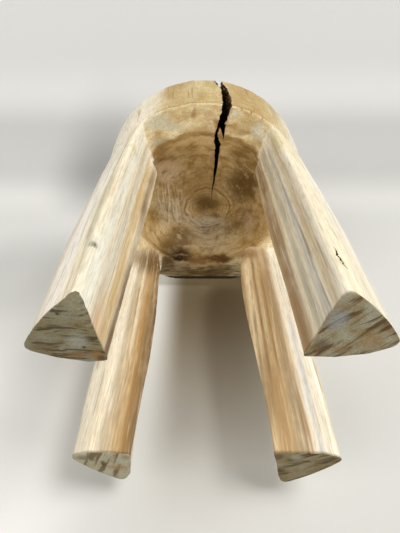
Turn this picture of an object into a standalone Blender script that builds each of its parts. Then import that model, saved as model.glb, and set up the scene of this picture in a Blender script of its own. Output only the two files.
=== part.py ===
"""Round stool carved from a single log: a thick seat on four legs left standing from the trunk.

The trunk's axis is the Z axis and the feet stand on z = 0. The front of the stool is -Y.
Two straight passages are cut across the trunk, front to back and side to side, which leaves a
leg in each quarter. A shallow bowl is hollowed under the seat, and a drying crack has opened
from the front of the seat to the heart of the log.

The legs keep the full grain of the seat on the real stool. Here each leg ends at the shoulder
line with a hairline gap, so that the seat and every leg is a simple solid of its own.
"""
import math

import bmesh
import bpy
from mathutils import Vector

# Overall sizes, in metres
STOOL_HEIGHT = 0.432
SEAT_THICKNESS = 0.098
LOG_RADIUS = 0.1500

# The seat's side leans out from its rim to its top
SEAT_TOP_SPREAD = 0.0035
RIM_NECK = 0.0040
SEAT_TOP_RADIUS = LOG_RADIUS + SEAT_TOP_SPREAD
RIM_RADIUS = LOG_RADIUS - RIM_NECK

# Seat edges and side
SEAT_TOP_EASE = 0.007
RIM_EASE = 0.0025
SEAT_BELLY = 0.0020
SEAT_TURN_STEPS = 72
EASE_STEPS = 5
SIDE_STEPS = 6

# Bowl under the seat, inside a flat band along the rim
RIM_BAND_WIDTH = 0.036
BOWL_WALL_RUN = 0.050
BOWL_RADIUS = RIM_RADIUS - RIM_BAND_WIDTH
BOWL_FLOOR_RADIUS = BOWL_RADIUS - BOWL_WALL_RUN
BOWL_DEPTH = 0.026
BOWL_LIP = 0.003
BOWL_STEPS = 10

# Passages between the legs
GAP_SHARE = 0.48
GAP_HALF_WIDTH = LOG_RADIUS * GAP_SHARE
SHOULDER_FILLET = 0.011
SHOULDER_FILLET_ANGLE = math.radians(72)
SHOULDER_STEPS = 4
RIDGE_FLARE_SHARE = 0.33

# Legs
LEG_CORNER_EASE = 0.0032
INNER_RIDGE_EASE = 0.0045
FOOT_CHAMFER = 0.0018
LEG_BELLY = 0.0025
HAIRLINE_GAP = 0.0003
MERGE_DISTANCE = 0.00002
LEG_STATIONS = 6
OUTER_FACETS = 5

# Edges steeper than this stay crisp, as the drawknife left them
FACET_ANGLE = math.radians(14)

# Drying crack
CRACK_WIDTH = 0.0095
CRACK_TIP_RADIUS = 0.0110
CRACK_TIP_ANGLE = math.radians(-12)
CRACK_HEADING = math.radians(-84.5)
CUT_OVERRUN = 0.010

# Colours of the carved wood
LEG_COLOUR = (0.72, 0.56, 0.34, 1.0)
SEAT_COLOUR = (0.60, 0.43, 0.24, 1.0)

# Plan of each leg. Every knife facet edge on the two inner sides is one pair: how far it
# stands across the passage, as a share of GAP_HALF_WIDTH, and how far along it lies from the
# trunk's axis, as a share of LOG_RADIUS. The ridge is the inner corner, first at the
# foot and then at the shoulder, in shares of GAP_HALF_WIDTH.
LEG_PLAN_SHARES = {
    "front_left_leg": {
        "quarter": (-1, -1),
        "trunk_share": 0.992,
        "ridge_foot_shares": (0.96, 0.88),
        "ridge_top_shares": (0.88, 0.86),
        "across_gap_shares": ((1.04, 0.52), (1.09, 0.67)),
        "corner_across_share": 1.15,
        "along_gap_shares": ((0.80, 0.56), (0.86, 0.70)),
        "corner_along_share": 0.99,
    },
    "front_right_leg": {
        "quarter": (1, -1),
        "trunk_share": 1.020,
        "ridge_foot_shares": (0.92, 0.90),
        "ridge_top_shares": (0.92, 0.92),
        "across_gap_shares": ((1.01, 0.55), (1.07, 0.68)),
        "corner_across_share": 1.19,
        "along_gap_shares": ((0.88, 0.60), (0.93, 0.75)),
        "corner_along_share": 1.06,
    },
    "rear_left_leg": {
        "quarter": (-1, 1),
        "trunk_share": 0.992,
        "ridge_foot_shares": (0.94, 1.02),
        "ridge_top_shares": (0.88, 1.01),
        "across_gap_shares": ((1.00, 0.62), (1.02, 0.73)),
        "corner_across_share": 1.12,
        "along_gap_shares": ((0.98, 0.58), (0.98, 0.72)),
        "corner_along_share": 1.07,
    },
    "rear_right_leg": {
        "quarter": (1, 1),
        "trunk_share": 1.008,
        "ridge_foot_shares": (0.85, 0.96),
        "ridge_top_shares": (0.76, 0.95),
        "across_gap_shares": ((0.93, 0.60), (0.99, 0.76)),
        "corner_across_share": 1.07,
        "along_gap_shares": ((0.97, 0.56), (0.98, 0.72)),
        "corner_along_share": 1.11,
    },
}

# Crack outline from the trunk's outside to its tip near the heart: how far along the crack,
# then its left and right edges off the crack's line as shares of CRACK_WIDTH.
CRACK_EDGE_SHARES = (
    (1.12, -0.46, 0.52),
    (0.96, -0.42, 0.56),
    (0.88, -0.32, 0.60),
    (0.79, -0.52, 0.52),
    (0.69, -0.78, 0.05),
    (0.56, -0.46, 0.17),
    (0.36, -0.29, 0.13),
    (0.21, -0.24, -0.04),
)
SIDE_CRACK_SHARES = (
    (0.86, -0.15, 0.50),
    (0.76, 0.14, 0.56),
    (0.66, 0.42, 0.48),
)
# How the crack leans on its way up: height as a share of SEAT_THICKNESS, then its shift at
# the trunk's outside as a share of CRACK_WIDTH.
CRACK_LEAN_SHARES = (
    (0.00, 0.00),
    (0.19, 0.50),
    (0.57, 0.22),
    (1.00, -0.52),
)


def clear_scene():
    """Remove everything the file starts with."""
    for item in list(bpy.data.objects):
        bpy.data.objects.remove(item, do_unlink=True)


def wood(name, colour):
    """Dry, unfinished wood."""
    material = bpy.data.materials.new(name)
    material.use_nodes = True
    shader = material.node_tree.nodes["Principled BSDF"]
    shader.inputs["Base Color"].default_value = colour
    shader.inputs["Roughness"].default_value = 0.72
    shader.inputs["Metallic"].default_value = 0.0
    return material


def add_object(name, mesh, material):
    """Put a mesh in the scene under its part name."""
    part = bpy.data.objects.new(name, mesh)
    bpy.context.scene.collection.objects.link(part)
    mesh.materials.append(material)
    return part


def finish_mesh(builder, name):
    """Face every normal out and turn the bmesh into a mesh."""
    bmesh.ops.recalc_face_normals(builder, faces=builder.faces)
    mesh = bpy.data.meshes.new(name)
    builder.to_mesh(mesh)
    builder.free()
    mesh.shade_smooth()
    mesh.set_sharp_from_angle(angle=FACET_ANGLE)
    return mesh


def underside_height():
    """Height of the seat's flat underside, where the legs end."""
    return STOOL_HEIGHT - SEAT_THICKNESS


def quarter_turn(centre_radius, centre_height, radius, start_angle, end_angle):
    """Points along part of a circle in the seat's profile."""
    points = []
    for step in range(EASE_STEPS + 1):
        angle = start_angle + (end_angle - start_angle) * step / EASE_STEPS
        points.append((centre_radius + radius * math.cos(angle),
                       centre_height + radius * math.sin(angle)))
    return points


def seat_side():
    """Side of the seat from its eased top edge down to its rim, with a slight belly."""
    top = STOOL_HEIGHT - SEAT_TOP_EASE
    low = underside_height() + RIM_EASE
    points = []
    for step in range(1, SIDE_STEPS):
        share = step / SIDE_STEPS
        radius = SEAT_TOP_RADIUS + (RIM_RADIUS - SEAT_TOP_RADIUS) * share
        belly = SEAT_BELLY * math.sin(math.pi * share) * share
        points.append((radius + belly, top + (low - top) * share))
    return points


def bowl_profile():
    """Bowl from its lip to its floor, as one smooth S curve."""
    base = underside_height()
    points = [(BOWL_RADIUS + BOWL_LIP, base)]
    for step in range(1, BOWL_STEPS + 1):
        share = step / BOWL_STEPS
        radius = BOWL_RADIUS + (BOWL_FLOOR_RADIUS - BOWL_RADIUS) * share
        rise = (1 - math.cos(math.pi * share)) / 2
        points.append((radius, base + BOWL_DEPTH * rise))
    return points


def seat_profile():
    """Half section of the seat, from the middle of its top round to the middle of its bowl."""
    base = underside_height()
    points = [(0, STOOL_HEIGHT)]
    points += quarter_turn(SEAT_TOP_RADIUS - SEAT_TOP_EASE, STOOL_HEIGHT - SEAT_TOP_EASE,
                           SEAT_TOP_EASE, math.pi / 2, 0)
    points += seat_side()
    points += quarter_turn(RIM_RADIUS - RIM_EASE, base + RIM_EASE, RIM_EASE, 0, -math.pi / 2)
    points += bowl_profile()
    points.append((0, base + BOWL_DEPTH))
    return points


def make_seat(material):
    """Turn the seat's profile round the trunk's axis."""
    builder = bmesh.new()
    corners = [builder.verts.new((radius, 0, height)) for radius, height in seat_profile()]
    edges = [builder.edges.new(pair) for pair in zip(corners, corners[1:])]
    bmesh.ops.spin(builder, geom=corners + edges, cent=(0, 0, 0), axis=(0, 0, 1), dvec=(0, 0, 0),
                   angle=2 * math.pi, steps=SEAT_TURN_STEPS, use_merge=True)
    bmesh.ops.remove_doubles(builder, verts=builder.verts, dist=MERGE_DISTANCE)
    return add_object("seat", finish_mesh(builder, "seat"), material)


def crack_frame():
    """Tip of the crack, its direction outward and the direction across it."""
    tip = Vector((math.cos(CRACK_TIP_ANGLE), math.sin(CRACK_TIP_ANGLE), 0)) * CRACK_TIP_RADIUS
    outward = Vector((math.cos(CRACK_HEADING), math.sin(CRACK_HEADING), 0))
    across = Vector((-outward.y, outward.x, 0))
    return tip, outward, across


def crack_ring(shares, height, lean, has_tip):
    """Outline of the crack at one height."""
    tip, outward, across = crack_frame()
    reach = RIM_RADIUS - CRACK_TIP_RADIUS
    left_side = []
    right_side = []
    for along, left, right in shares:
        middle = tip + outward * (reach * along) + across * (CRACK_WIDTH * lean * along)
        left_side.append(middle + across * (CRACK_WIDTH * left))
        right_side.append(middle + across * (CRACK_WIDTH * right))
    outline = left_side + ([tip] if has_tip else []) + right_side[::-1]
    return [Vector((point.x, point.y, height)) for point in outline]


def make_crack_cutter(name, shares, has_tip, material):
    """Solid that opens the crack through the whole thickness of the seat."""
    base = underside_height()
    levels = [(base - CUT_OVERRUN, CRACK_LEAN_SHARES[0][1])]
    levels += [(base + SEAT_THICKNESS * share, lean) for share, lean in CRACK_LEAN_SHARES]
    levels.append((STOOL_HEIGHT + CUT_OVERRUN, CRACK_LEAN_SHARES[-1][1]))
    rings = [crack_ring(shares, height, lean, has_tip) for height, lean in levels]
    cutter = add_object(name, loft(name, rings), material)
    cutter.hide_render = True
    cutter.display_type = "WIRE"
    return cutter


def cut(part, cutter):
    """Take a cutter out of a part."""
    change = part.modifiers.new(cutter.name, "BOOLEAN")
    change.operation = "DIFFERENCE"
    change.solver = "EXACT"
    change.object = cutter


def loft(name, rings):
    """Closed solid through rings of equal point counts, capped at both ends."""
    builder = bmesh.new()
    loops = [[builder.verts.new(point) for point in ring] for ring in rings]
    for low, high in zip(loops, loops[1:]):
        for index in range(len(low)):
            after = (index + 1) % len(low)
            builder.faces.new((low[index], low[after], high[after], high[index]))
    builder.faces.new(loops[0])
    builder.faces.new(loops[-1])
    bmesh.ops.triangulate(builder, faces=[face for face in builder.faces if len(face.verts) > 4])
    return finish_mesh(builder, name)


def eased_corner(before, corner, after, ease):
    """A corner softened by three points of a curve that leaves each side at one ease length."""
    start = corner + (before - corner).normalized() * ease
    end = corner + (after - corner).normalized() * ease
    middle = (start + corner * 2 + end) / 4
    return [start, middle, end]


def on_trunk(radius, across=None, along=None):
    """Point of the trunk's outside at one known coordinate."""
    if across is not None:
        return Vector((across, math.sqrt(radius ** 2 - across ** 2)))
    return Vector((math.sqrt(radius ** 2 - along ** 2), along))


def leg_outline(shares, climb, flare):
    """Section of one leg in the positive quarter, counterclockwise from its inner ridge.

    climb runs from 0 at the foot to 1 at the shoulder, and flare is how far the inner sides
    have swelled out into the shoulder.
    """
    foot_radius = LOG_RADIUS * shares["trunk_share"]
    radius = foot_radius + (RIM_RADIUS - foot_radius) * climb
    radius += LEG_BELLY * math.sin(math.pi * climb)
    ridge_foot = Vector(shares["ridge_foot_shares"]) * GAP_HALF_WIDTH
    ridge_top = Vector(shares["ridge_top_shares"]) * GAP_HALF_WIDTH
    ridge = ridge_foot.lerp(ridge_top, climb) - Vector((flare, flare)) * RIDGE_FLARE_SHARE
    lower_side = [Vector((along * LOG_RADIUS, across * GAP_HALF_WIDTH - flare))
                  for across, along in shares["along_gap_shares"]]
    upper_side = [Vector((across * GAP_HALF_WIDTH - flare, along * LOG_RADIUS))
                  for across, along in shares["across_gap_shares"]]
    lower_corner = on_trunk(radius, along=shares["corner_along_share"] * GAP_HALF_WIDTH - flare)
    upper_corner = on_trunk(radius, across=shares["corner_across_share"] * GAP_HALF_WIDTH - flare)
    start = math.atan2(lower_corner.y, lower_corner.x)
    end = math.atan2(upper_corner.y, upper_corner.x)
    bark = []
    for facet in range(1, OUTER_FACETS):
        angle = start + (end - start) * facet / OUTER_FACETS
        bark.append(Vector((math.cos(angle), math.sin(angle))) * radius)
    outline = eased_corner(upper_side[0], ridge, lower_side[0], INNER_RIDGE_EASE)
    outline += lower_side
    outline += eased_corner(lower_side[-1], lower_corner, bark[0], LEG_CORNER_EASE)
    outline += bark
    outline += eased_corner(bark[-1], upper_corner, upper_side[-1], LEG_CORNER_EASE)
    outline += upper_side[::-1]
    return outline


def inset(outline, distance):
    """Outline drawn in towards its middle."""
    middle = sum(outline, Vector((0, 0))) / len(outline)
    return [point + (middle - point).normalized() * distance for point in outline]


def leg_rings(shares):
    """Sections of one leg from its chamfered foot to its flared shoulder."""
    top = underside_height() - HAIRLINE_GAP
    straight_top = top - SHOULDER_FILLET
    sections = [(0, inset(leg_outline(shares, 0, 0), FOOT_CHAMFER))]
    for step in range(LEG_STATIONS + 1):
        height = FOOT_CHAMFER + (straight_top - FOOT_CHAMFER) * step / LEG_STATIONS
        sections.append((height, leg_outline(shares, height / top, 0)))
    for step in range(1, SHOULDER_STEPS + 1):
        angle = SHOULDER_FILLET_ANGLE * step / SHOULDER_STEPS
        rise = math.sin(angle) / math.sin(SHOULDER_FILLET_ANGLE)
        height = straight_top + SHOULDER_FILLET * rise
        flare = SHOULDER_FILLET * (1 - math.cos(angle))
        sections.append((height, leg_outline(shares, height / top, flare)))
    side_x, side_y = shares["quarter"]
    return [[Vector((point.x * side_x, point.y * side_y, height)) for point in outline]
            for height, outline in sections]


def make_leg(name, shares, material):
    """One leg of the stool."""
    return add_object(name, loft(name, leg_rings(shares)), material)


def make_stool():
    """Build the seat with its crack, and the four legs."""
    clear_scene()
    leg_wood = wood("leg_wood", LEG_COLOUR)
    seat_wood = wood("seat_wood", SEAT_COLOUR)
    seat = make_seat(seat_wood)
    cut(seat, make_crack_cutter("crack", CRACK_EDGE_SHARES, True, seat_wood))
    cut(seat, make_crack_cutter("side_crack", SIDE_CRACK_SHARES, False, seat_wood))
    for name, shares in LEG_PLAN_SHARES.items():
        make_leg(name, shares, leg_wood)


make_stool()
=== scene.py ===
import math
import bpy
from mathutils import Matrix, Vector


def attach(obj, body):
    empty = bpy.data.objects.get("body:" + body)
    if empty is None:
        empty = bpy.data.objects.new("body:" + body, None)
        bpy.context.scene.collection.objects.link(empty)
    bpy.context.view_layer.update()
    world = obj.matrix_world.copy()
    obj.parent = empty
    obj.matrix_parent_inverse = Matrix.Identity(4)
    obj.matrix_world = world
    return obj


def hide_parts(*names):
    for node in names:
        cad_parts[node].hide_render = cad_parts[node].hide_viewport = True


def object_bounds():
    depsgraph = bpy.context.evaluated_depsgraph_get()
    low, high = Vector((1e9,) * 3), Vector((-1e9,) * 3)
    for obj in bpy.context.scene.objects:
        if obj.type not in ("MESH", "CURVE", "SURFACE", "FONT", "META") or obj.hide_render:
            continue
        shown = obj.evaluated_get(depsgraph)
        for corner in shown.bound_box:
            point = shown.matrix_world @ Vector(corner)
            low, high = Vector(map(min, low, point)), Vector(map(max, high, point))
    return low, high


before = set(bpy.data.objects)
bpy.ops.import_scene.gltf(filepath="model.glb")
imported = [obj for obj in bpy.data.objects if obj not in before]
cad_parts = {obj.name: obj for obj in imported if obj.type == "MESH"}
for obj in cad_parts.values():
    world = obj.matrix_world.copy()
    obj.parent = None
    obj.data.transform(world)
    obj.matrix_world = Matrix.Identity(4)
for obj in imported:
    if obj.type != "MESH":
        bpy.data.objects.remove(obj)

from types import SimpleNamespace

import bmesh
import bpy
import numpy as np
from mathutils import Matrix, Vector

CAD_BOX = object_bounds()

# Sizes of the log, in metres
HEIGHT = 0.432
SEAT_THICKNESS = 0.098
RIM_HEIGHT = HEIGHT - SEAT_THICKNESS
LOG_RADIUS = 0.150
SEAT_TOP_RADIUS = 0.1540
RIM_RADIUS = 0.1465
SEAT_TOP_EASE = 0.0028
RIM_EASE = 0.0016
FOOT_EASE = 0.0010
SEAT_BELLY = 0.0020
LEG_BELLY = 0.0042
LEG_SWELL = 0.0022
LEG_SWELL_REACH = 0.10
# Radius at the feet as a share of the log's: even, to the side, to the rear and diagonal
FOOT_LOG_SPREAD = (1.000, 0.014, 0.0, -0.006)
GAP_HALF_WIDTH = 0.072
BOWL_RADIUS = 0.112
BOWL_FLOOR_RADIUS = 0.060
BOWL_DEPTH = 0.026
BOWL_OVAL = 0.985
RIDGE_EASE = 0.0030
LEG_OVERRUN = 0.080
CORNER_BLEND = 0.0085
SHOULDER_BLEND = 0.017
SHOULDER_START = 0.100
SHOULDER_END = 0.122
FRONT_LEDGE_BLEND = 0.0130
REAR_LEDGE_BLEND = 0.0040
LEDGE_TURN = 0.02
CORNER_BLEND_END = 0.30
LEDGE_HEIGHT = RIM_HEIGHT + 0.0005
LEDGE_EASE = 0.0015
SLAB_WEIGHT = 0.90
LEG_CLEARANCE = 0.030
REAR_FLAT_PLACE = 0.1385
REAR_FLAT_SLOPE = 0.155
REAR_FLAT_BLEND = 0.004
BEVEL_POINT = (-0.0902, -0.1157)
BEVEL_NORMAL = (0.872, -0.490)
BEVEL_TILT = math.radians(30.0)
SHARP_ANGLE = math.radians(38.0)

# The grid that the log is meshed on
CELL = 0.0020
GRID_HALF_WIDTH = 0.1535
GRID_MARGIN = 0.006
GRID_END_MARGIN = GRID_MARGIN * 0.65
CELL_SLACK = 0.1
PULL_TO_MIDDLE = 0.08

# Plan of each leg, as in the solids: pairs across and along each passage
LEG_PLANS = {
    (-1, -1): {"ridge": ((0.965, 0.82), (0.88, 0.86)), "bulge": (0.0028, 0.25, 0.10), "recede": (0.0095, 0.014),
               "across": ((1.012, 0.52), (1.058, 0.67)), "corner_across": 1.125,
               "along": ((0.80, 0.56), (0.86, 0.70)), "corner_along": 0.99},
    (1, -1): {"ridge": ((0.935, 0.89), (0.92, 0.92)), "bulge": (0.0030, 0.18, 0.12), "recede": (0.0095, 0.014),
              "across": ((1.01, 0.55), (1.07, 0.68)), "corner_across": 1.19,
              "along": ((0.88, 0.60), (0.93, 0.75)), "corner_along": 1.06},
    (-1, 1): {"ridge": ((0.975, 1.02), (0.93, 1.01)), "bulge": (0.0072, 0.15, 0.12), "recede": (0.0075, 0.034),
              "across": ((0.982, 0.62), (1.012, 0.73)), "corner_across": 1.12,
              "along": ((0.98, 0.58), (0.98, 0.72)), "corner_along": 1.07},
    (1, 1): {"ridge": ((0.855, 0.96), (0.79, 0.95)), "bulge": (0.0085, 0.22, 0.11), "recede": (0.0075, 0.034),
             "across": ((0.93, 0.60), (0.99, 0.76)), "corner_across": 1.07,
             "along": ((0.97, 0.56), (0.98, 0.72)), "corner_along": 1.11},
}


def smooth_step(value, low, high):
    share = np.clip((value - low) / (high - low), 0.0, 1.0)
    return share * share * (3.0 - 2.0 * share)


def smooth_max(first, second, blend):
    nearness = np.maximum(blend - np.abs(first - second), 0.0) / blend
    return np.maximum(first, second) + nearness * nearness * blend * 0.25


def smooth_min(first, second, blend):
    return -smooth_max(-first, -second, blend)


def trunk_radius(x, y, z):
    """Radius of the log's outside at a height, with its belly and the swell into each leg."""
    radius = np.maximum(np.hypot(x, y), 1e-6)
    side = x / radius * math.sqrt(2.0)
    rear = y / radius * math.sqrt(2.0)
    even, by_side, by_rear, diagonal = FOOT_LOG_SPREAD
    foot = LOG_RADIUS * (even + by_side * side + by_rear * rear + diagonal * side * rear)
    climb = np.clip(z / RIM_HEIGHT, 0.0, 1.0)
    low = foot + (RIM_RADIUS - foot) * climb + LEG_BELLY * np.sin(math.pi * climb)
    rise = np.clip((z - RIM_HEIGHT) / SEAT_THICKNESS, 0.0, 1.0)
    high = RIM_RADIUS + (SEAT_TOP_RADIUS - RIM_RADIUS) * rise
    high = high + SEAT_BELLY * np.sin(math.pi * (1.0 - rise)) * (1.0 - rise)
    swell = LEG_SWELL * (side * rear) ** 2 * np.exp(-((z - RIM_HEIGHT) / LEG_SWELL_REACH) ** 2)
    return np.where(z < RIM_HEIGHT, low, high) + swell


def trunk_field(x, y, z):
    side = np.hypot(x, y) - trunk_radius(x, y, z)
    flat = y - REAR_FLAT_PLACE - REAR_FLAT_SLOPE * np.maximum(z - RIM_HEIGHT, 0.0)
    side = smooth_max(side, flat, REAR_FLAT_BLEND)
    return smooth_max(side, z - HEIGHT, SEAT_TOP_EASE * 2.0)


def underside(x, y):
    """Height of the seat's underside, with the bowl hollowed into it."""
    radius = np.hypot(x, y * BOWL_OVAL)
    share = np.clip((BOWL_RADIUS - radius) / (BOWL_RADIUS - BOWL_FLOOR_RADIUS), 0.0, 1.0)
    return RIM_HEIGHT + BOWL_DEPTH * (1.0 - np.cos(math.pi * share)) / 2.0


def towards(start, end, reach):
    """The point that lies a reach from the start towards the end."""
    run_x, run_y = end[0] - start[0], end[1] - start[1]
    length = np.hypot(run_x, run_y)
    return (start[0] + run_x / length * reach, start[1] + run_y / length * reach)


def plan_points(plan, climb, radius):
    """Corners of a leg's section in the positive quarter, each as functions of the climb."""
    (foot_x, foot_y), (top_x, top_y) = plan["ridge"]
    swell, swell_height, swell_reach = plan["bulge"]
    bulge = swell * np.exp(-((climb * RIM_HEIGHT - swell_height) / swell_reach) ** 2)
    recede, recede_reach = plan["recede"]
    recede = recede * np.exp(-((climb - 1.0) * RIM_HEIGHT / recede_reach) ** 2)
    ridge = ((foot_x + (top_x - foot_x) * climb) * GAP_HALF_WIDTH - bulge + recede,
             (foot_y + (top_y - foot_y) * climb) * GAP_HALF_WIDTH + recede)
    flat = np.ones_like(climb)
    along = [(far * LOG_RADIUS * flat, near * GAP_HALF_WIDTH * flat) for near, far in plan["along"]]
    across = [(near * GAP_HALF_WIDTH * flat, far * LOG_RADIUS * flat) for near, far in plan["across"]]
    low_y = plan["corner_along"] * GAP_HALF_WIDTH * flat
    low = (np.sqrt(radius ** 2 - low_y ** 2), low_y)
    high_x = plan["corner_across"] * GAP_HALF_WIDTH * flat
    high = (high_x, np.sqrt(radius ** 2 - high_x ** 2))
    before = towards(ridge, across[0], RIDGE_EASE)
    after = towards(ridge, along[0], RIDGE_EASE)
    middle = ((before[0] + after[0] + 2.0 * ridge[0]) / 4.0, (before[1] + after[1] + 2.0 * ridge[1]) / 4.0)
    low_far = towards(along[-1], low, LEG_OVERRUN)
    high_far = towards(across[-1], high, LEG_OVERRUN)
    return [before, middle, after] + along + [low, low_far, high_far, high] + across[::-1]


def polygon_field(x, y, corners):
    """Signed distance to a polygon, negative inside."""
    nearest = np.full(x.shape, 1e9, dtype=x.dtype)
    sign = np.ones(x.shape, dtype=x.dtype)
    for index, (ax, ay) in enumerate(corners):
        bx, by = corners[index - 1]
        ex, ey = bx - ax, by - ay
        wx, wy = x - ax, y - ay
        share = np.clip((wx * ex + wy * ey) / (ex * ex + ey * ey), 0.0, 1.0)
        dx, dy = wx - ex * share, wy - ey * share
        nearest = np.minimum(nearest, dx * dx + dy * dy)
        above, below, turn = y >= ay, y < by, ex * wy > ey * wx
        flip = (above & below & turn) | (~above & ~below & ~turn)
        sign = np.where(flip, -sign, sign)
    return sign * np.sqrt(nearest)


def legs_field(x, y, z):
    climb = np.clip(z / RIM_HEIGHT, 0.0, 1.0)
    radius = trunk_radius(x, y, z)
    result = np.full(x.shape, 1.0, dtype=x.dtype)
    for (side_x, side_y), plan in LEG_PLANS.items():
        here = (x * side_x > LEG_CLEARANCE) & (y * side_y > LEG_CLEARANCE)
        if here.any():
            corners = plan_points(plan, climb[here], radius[here])
            result[here] = polygon_field(x[here] * side_x, y[here] * side_y, corners)
    return result


def solid_field(x, y, z):
    """Negative inside the wood."""
    legs = smooth_max(legs_field(x, y, z), z - LEDGE_HEIGHT, LEDGE_EASE)
    slab = (underside(x, y) - z) * SLAB_WEIGHT
    ledge = REAR_LEDGE_BLEND + (FRONT_LEDGE_BLEND - REAR_LEDGE_BLEND) * smooth_step(-y, -LEDGE_TURN, LEDGE_TURN)
    shoulder = smooth_step(np.hypot(x, y), SHOULDER_START, SHOULDER_END)
    wood = smooth_min(legs, slab, ledge + (SHOULDER_BLEND - ledge) * shoulder)
    side_blend = CORNER_BLEND + (RIM_EASE * 2.0 - CORNER_BLEND) * smooth_step(z, CORNER_BLEND_END, RIM_HEIGHT)
    wood = smooth_max(wood, trunk_field(x, y, z), side_blend)
    beyond = (x - BEVEL_POINT[0]) * BEVEL_NORMAL[0] + (y - BEVEL_POINT[1]) * BEVEL_NORMAL[1]
    bevel = beyond * math.sin(BEVEL_TILT) - z * math.cos(BEVEL_TILT)
    wood = np.maximum(wood, np.where((x < 0.0) & (y < 0.0), bevel, -1.0))
    return smooth_max(wood, -z, FOOT_EASE)


def field_gradient(points, reach=0.0002):
    gradient = np.empty_like(points)
    for axis in range(3):
        step = np.zeros(3)
        step[axis] = reach
        gradient[:, axis] = solid_field(*(points + step).T) - solid_field(*(points - step).T)
    length = np.linalg.norm(gradient, axis=1, keepdims=True)
    return gradient / np.maximum(length, 1e-12)


def edge_crossings(low, values, axis):
    """Where the surface crosses the grid's edges along an axis: their starts, points and sense."""
    first, second = [slice(None)] * 3, [slice(None)] * 3
    first[axis], second[axis] = slice(None, -1), slice(1, None)
    inside = values < 0.0
    starts = np.argwhere(inside[tuple(first)] != inside[tuple(second)])
    ends = starts.copy()
    ends[:, axis] += 1
    start_value, end_value = values[tuple(starts.T)], values[tuple(ends.T)]
    share = start_value / (start_value - end_value)
    for refining in (True, True, False):
        points = low + starts * CELL
        points[:, axis] += share * CELL
        if refining:
            share = np.clip(share - solid_field(*points.T) / (end_value - start_value), 0.0, 1.0)
    return starts, points, end_value < 0.0


def cells_round(starts, axis, strides):
    """The four cells round each crossed edge, in turn."""
    cells = []
    for step_right, step_up in ((-1, -1), (0, -1), (0, 0), (-1, 0)):
        cell = starts.copy()
        cell[:, (axis + 1) % 3] += step_right
        cell[:, (axis + 2) % 3] += step_up
        cells.append(cell @ strides)
    return np.stack(cells, axis=1)


def settled_points(points, normals, owners, total):
    """One point in each cell, as near as can be to the planes at its crossings."""
    weight = np.bincount(owners, minlength=total)
    middle = np.stack([np.bincount(owners, points[:, axis], total) for axis in range(3)], axis=1)
    middle /= weight[:, None]
    offset = np.einsum("ij,ij->i", normals, points - middle[owners])
    matrix = np.empty((total, 3, 3))
    vector = np.empty((total, 3))
    for row in range(3):
        vector[:, row] = np.bincount(owners, normals[:, row] * offset, total)
        for column in range(3):
            matrix[:, row, column] = np.bincount(owners, normals[:, row] * normals[:, column], total)
    matrix[:, range(3), range(3)] += PULL_TO_MIDDLE
    return middle + np.linalg.solve(matrix, vector[:, :, None])[:, :, 0]


def mesh_field():
    """Dual contouring: one point in each cell that the surface crosses, one face at each edge."""
    reach = GRID_HALF_WIDTH + GRID_MARGIN
    low = np.array([-reach, -reach, -GRID_END_MARGIN])
    high = np.array([reach, reach, HEIGHT + GRID_END_MARGIN])
    counts = np.ceil((high - low) / CELL).astype(int) + 1
    axes = [low[axis] + CELL * np.arange(counts[axis]) for axis in range(3)]
    grid_x, grid_y = np.meshgrid(axes[0], axes[1], indexing="ij")
    values = np.stack([solid_field(grid_x, grid_y, np.full_like(grid_x, z)) for z in axes[2]], axis=2)
    strides = np.array([counts[1] * counts[2], counts[2], 1])
    starts, points, flip = zip(*[edge_crossings(low, values, axis) for axis in range(3)])
    quads = np.concatenate([cells_round(starts[axis], axis, strides) for axis in range(3)])
    points, flip = np.concatenate(points), np.concatenate(flip)
    cells, inverse = np.unique(quads, return_inverse=True)
    inverse = inverse.reshape(quads.shape)
    normals = field_gradient(points)
    verts = settled_points(np.repeat(points, 4, axis=0), np.repeat(normals, 4, axis=0), inverse.ravel(), len(cells))
    place = np.stack([cells // strides[0], (cells // strides[1]) % counts[1], cells % counts[2]], axis=1)
    cell_low = low + place * CELL
    verts = np.clip(verts, cell_low - CELL * CELL_SLACK, cell_low + CELL * (1.0 + CELL_SLACK))
    return verts, np.where(flip[:, None], inverse[:, ::-1], inverse)


# Knife flats down the outside: their widths in radians, and how much of each is cut
FLAT_SEED = 11
FLAT_WIDTHS = (0.13, 0.27)
FLAT_SHARES = (0.25, 0.85)
FLAT_WAVES = (12, (0.4, 0.4, 0.16))

# Gouge cups over the underside: number, half width of their field, lengths across and shares
# along, and depth in the bowl and how much less on the band
CUP_SEED = 23
CUP_COUNT = 420
CUP_FIELD = 0.145
CUP_REACHES = (0.008, 0.013)
CUP_STRETCHES = (1.2, 2.2)
CUP_DEPTH = 0.0010
CUP_BAND_LESS = 0.0008

# Knots and dents: place, reach and depth
DENTS = (
    ((-0.0835, -0.1240, 0.0560), 0.0060, 0.0016),
    ((-0.0805, -0.1262, 0.0370), 0.0040, 0.0010),
    ((-0.0800, -0.1265, 0.0250), 0.0035, 0.0008),
    ((0.0905, -0.1210, 0.0290), 0.0040, 0.0008),
    ((0.1320, 0.0640, 0.1900), 0.0060, 0.0012),
    ((-0.1290, 0.0700, 0.2500), 0.0050, 0.0010),
    ((0.0840, 0.1230, 0.1200), 0.0055, 0.0012),
)

# Ripples of the grain and fuzz: half depth, seed and wavelengths
RIPPLES = (0.00030, 31, (0.022, 0.022, 0.070))
FUZZ = (0.00012, 32, (0.007, 0.007, 0.022))


def waves(points, seed, wavelengths, count=14):
    """Smooth wandering value between about -1 and 1, with its own wavelength along each axis."""
    chance = np.random.default_rng(seed)
    total = np.zeros(len(points))
    for _ in range(count):
        heading = chance.normal(size=3)
        heading /= np.linalg.norm(heading)
        turns = heading * chance.uniform(0.6, 1.5) / np.array(wavelengths)
        total += np.sin(points @ turns * 2.0 * math.pi + chance.uniform(0.0, 2.0 * math.pi))
    return total / math.sqrt(count)


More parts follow.
